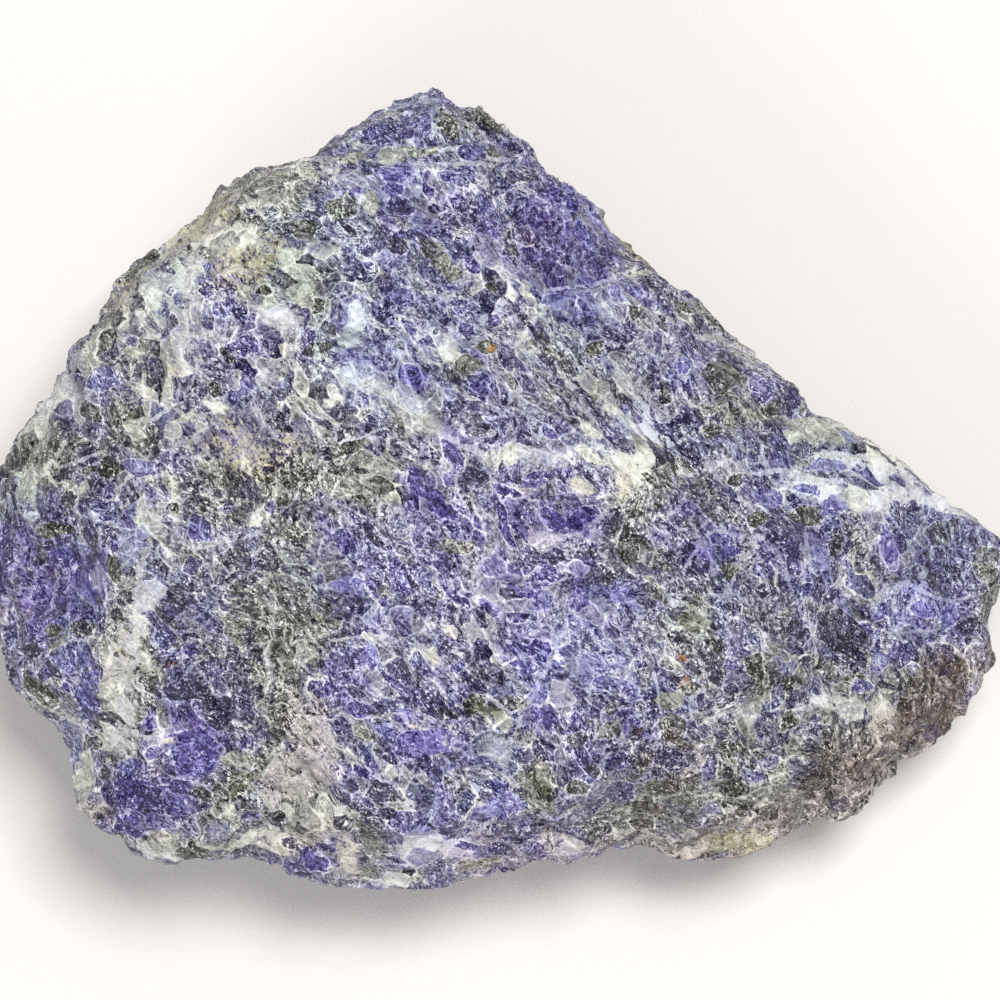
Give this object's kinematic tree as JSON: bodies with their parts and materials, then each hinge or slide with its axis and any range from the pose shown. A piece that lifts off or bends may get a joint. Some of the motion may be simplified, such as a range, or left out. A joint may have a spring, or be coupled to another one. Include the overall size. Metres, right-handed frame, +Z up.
{
  "type": "rough sodalite stone",
  "caption": "Rough block of blue and white sodalite, broken on all sides, lying on a small flat spot.",
  "frame": {"origin": "on the surface the stone rests on, under the middle of its bounding box", "axes": "+X along the stone to its thin tip, +Y to its pointed corner, +Z up"},
  "size_m": [0.172, 0.138, 0.0645],
  "materials": {
    "sodalite": "rough"
  },
  "bodies": {
    "root": {"sodalite_block": "sodalite"}
  },
  "joints": []
}
